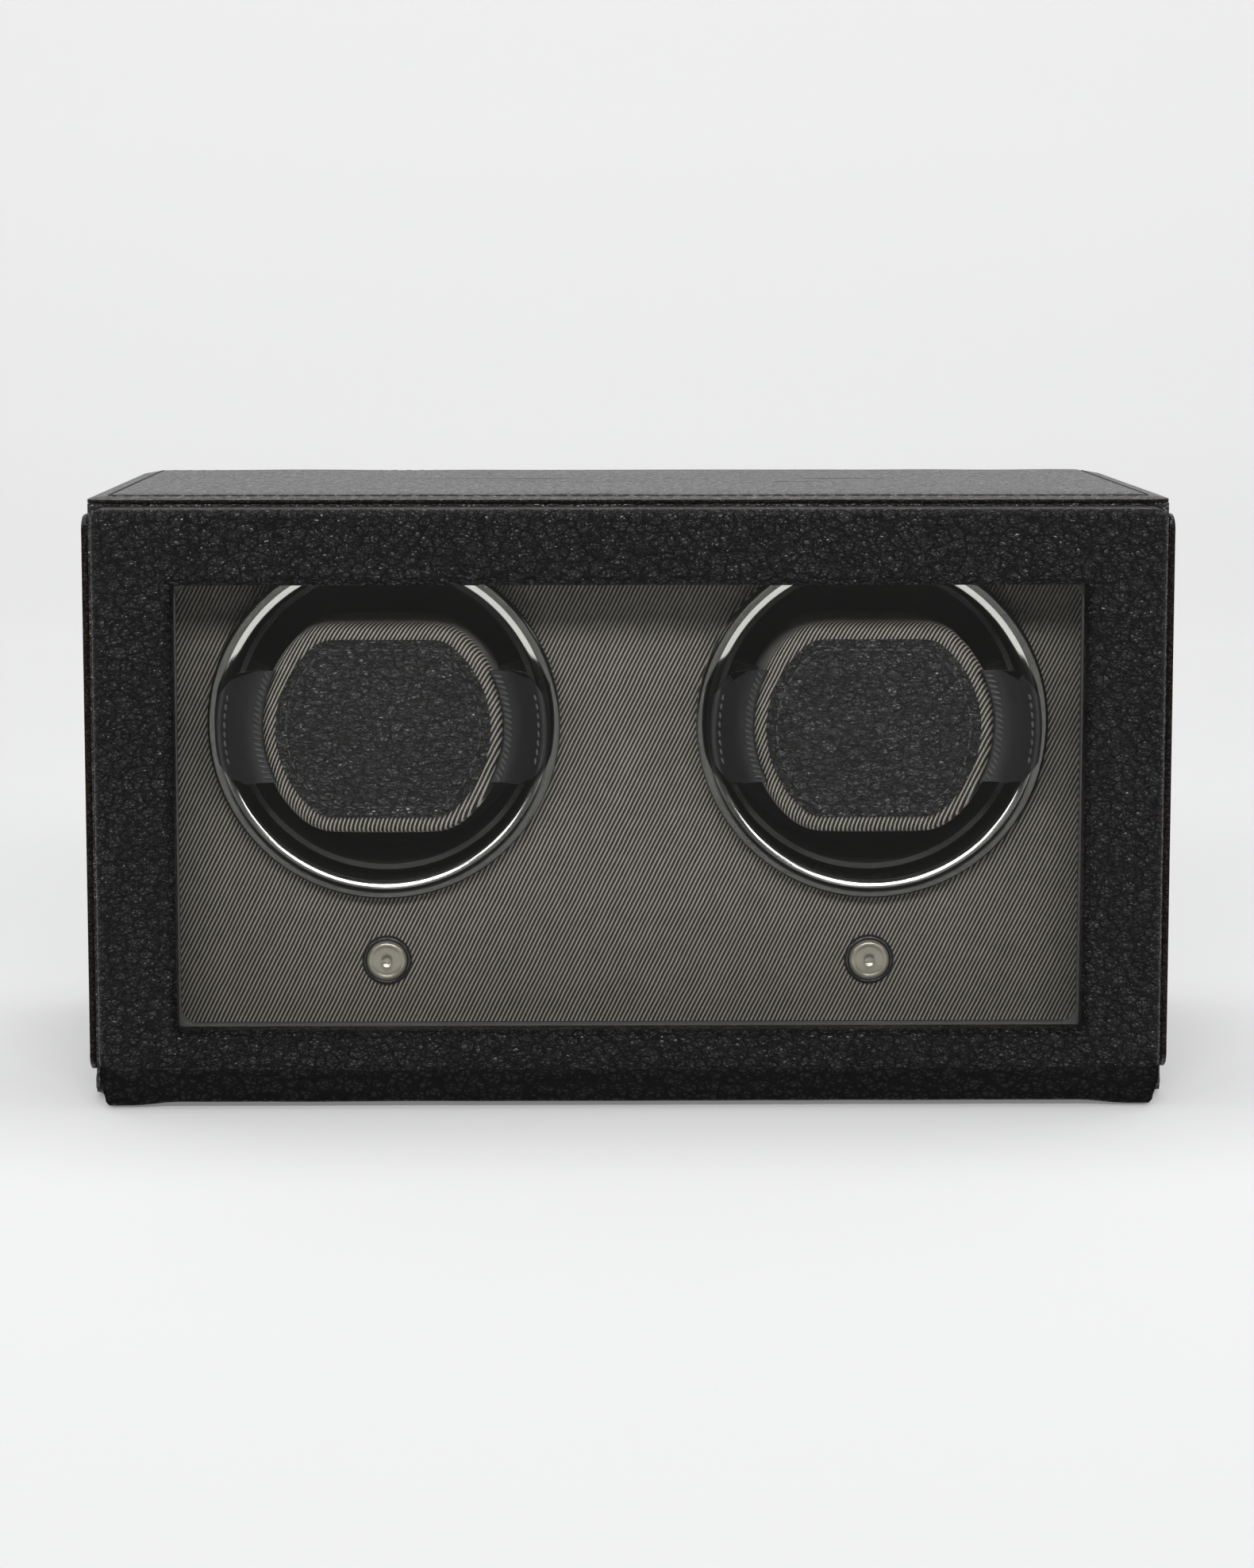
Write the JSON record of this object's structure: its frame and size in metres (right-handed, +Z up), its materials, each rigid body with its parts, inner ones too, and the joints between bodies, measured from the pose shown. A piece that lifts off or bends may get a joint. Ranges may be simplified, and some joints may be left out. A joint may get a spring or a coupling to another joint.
{
  "type": "watch winder box",
  "caption": "Leather-covered winder box with a drop-down glazed door, motor-turned drums that carry soft watch cuffs inside polished rings, and a push-button under each ring.",
  "frame": {"origin": "on the table, under the middle of the box's outer width and depth", "axes": "+X to the right of a person facing the front, +Y from the door to the back, +Z up"},
  "size_m": [0.311, 0.18, 0.1725],
  "materials": {
    "case_wood": "fibreboard, matt",
    "pebbled_leather": "fine pebbled grain, satin",
    "panel_leather": "fine grain, satin",
    "hinge_leather": "smooth, matt",
    "lining_fabric": "napped, matt",
    "foot_felt": "felt, matt",
    "twill_fabric": "two-tone diagonal twill",
    "pad_leather": "fine pebbled grain, satin",
    "wing_leather": "smooth, satin",
    "cuff_foam": "closed-cell foam, matt",
    "ring_chrome": "polished",
    "button_metal": "pearl",
    "bezel_black": "gloss",
    "drum_plastic": "matt",
    "gear_plastic": "moulded nylon",
    "shaft_steel": "bright",
    "bearing_bronze": "sintered, satin",
    "motor_steel": "satin",
    "circuit_green": "solder mask",
    "switch_plastic": "moulded",
    "lead_insulation": "satin",
    "magnet_nickel": "nickel plated",
    "window_glass": "clear",
    "retainer_plastic": "satin"
  },
  "bodies": {
    "case": {"base_board": "case_wood", "top_board": "case_wood", "left_side_board": "case_wood", "right_side_board": "case_wood", "back_board": "case_wood", "fascia_board": "case_wood", "mechanism_board": "case_wood", "side_and_back_leather": "panel_leather", "top_leather": "panel_leather", "base_leather": "panel_leather", "front_edge_leather": "panel_leather", "cavity_lining": "lining_fabric", "foot_pads": "foot_felt", "fascia_fabric": "twill_fabric", "left_chrome_ring": "ring_chrome", "right_chrome_ring": "ring_chrome", "left_button_bezel": "bezel_black", "right_button_bezel": "bezel_black", "motor_screws": "shaft_steel", "board_screws": "shaft_steel", "jack_nut": "shaft_steel", "drum_bearings": "bearing_bronze", "left_motor": "motor_steel", "right_motor": "motor_steel", "control_board": "circuit_green", "left_switch": "switch_plastic", "right_switch": "switch_plastic", "board_spacers": "switch_plastic", "power_jack": "switch_plastic", "power_lead": "lead_insulation", "motor_leads": "lead_insulation", "case_magnets": "magnet_nickel"},
    "door": {"door_frame_board": "case_wood", "door_leather": "pebbled_leather", "door_back_lining": "lining_fabric", "hinge_leather": "hinge_leather", "glass_pane": "window_glass", "glass_retainer": "retainer_plastic", "door_magnets": "magnet_nickel"},
    "left_drum": {"left_drum_cup": "drum_plastic", "left_drum_gear": "gear_plastic", "left_drum_shaft": "shaft_steel", "left_retaining_clip": "shaft_steel", "left_cuff_core": "cuff_foam", "left_cuff_fabric": "twill_fabric", "left_cuff_pad": "pad_leather", "left_cuff_wings": "wing_leather"},
    "left_pinion": {"left_motor_pinion": "gear_plastic"},
    "left_button": {"left_push_button": "button_metal"},
    "right_drum": {"right_drum_cup": "drum_plastic", "right_drum_gear": "gear_plastic", "right_drum_shaft": "shaft_steel", "right_retaining_clip": "shaft_steel", "right_cuff_core": "cuff_foam", "right_cuff_fabric": "twill_fabric", "right_cuff_pad": "pad_leather", "right_cuff_wings": "wing_leather"},
    "right_pinion": {"right_motor_pinion": "gear_plastic"},
    "right_button": {"right_push_button": "button_metal"}
  },
  "joints": [
    {"name": "door_hinge", "type": "hinge", "parent": "case", "child": "door", "pos_m": [0, -0.089, 0.0024], "axis": [1, 0, 0], "range_deg": [0, 90]},
    {"name": "left_drum_spin", "type": "hinge", "parent": "case", "child": "left_drum", "pos_m": [-0.0708, 0, 0.1065], "axis": [0, 1, 0], "continuous": true},
    {"name": "left_pinion_spin", "type": "hinge", "parent": "case", "child": "left_pinion", "pos_m": [-0.0708, 0.01, 0.0565], "axis": [0, 1, 0], "continuous": true},
    {"name": "left_button_press", "type": "slide", "parent": "case", "child": "left_button", "axis": [0, 1, 0], "range_m": [0, 0.0012]},
    {"name": "right_drum_spin", "type": "hinge", "parent": "case", "child": "right_drum", "pos_m": [0.0708, 0, 0.1065], "axis": [0, 1, 0], "continuous": true},
    {"name": "right_pinion_spin", "type": "hinge", "parent": "case", "child": "right_pinion", "pos_m": [0.0708, 0.01, 0.0565], "axis": [0, 1, 0], "continuous": true},
    {"name": "right_button_press", "type": "slide", "parent": "case", "child": "right_button", "axis": [0, 1, 0], "range_m": [0, 0.0012]}
  ],
  "couplings": [
    {"joint": "left_pinion_spin", "follows": "left_drum_spin", "ratio": -4},
    {"joint": "right_pinion_spin", "follows": "right_drum_spin", "ratio": -4}
  ]
}
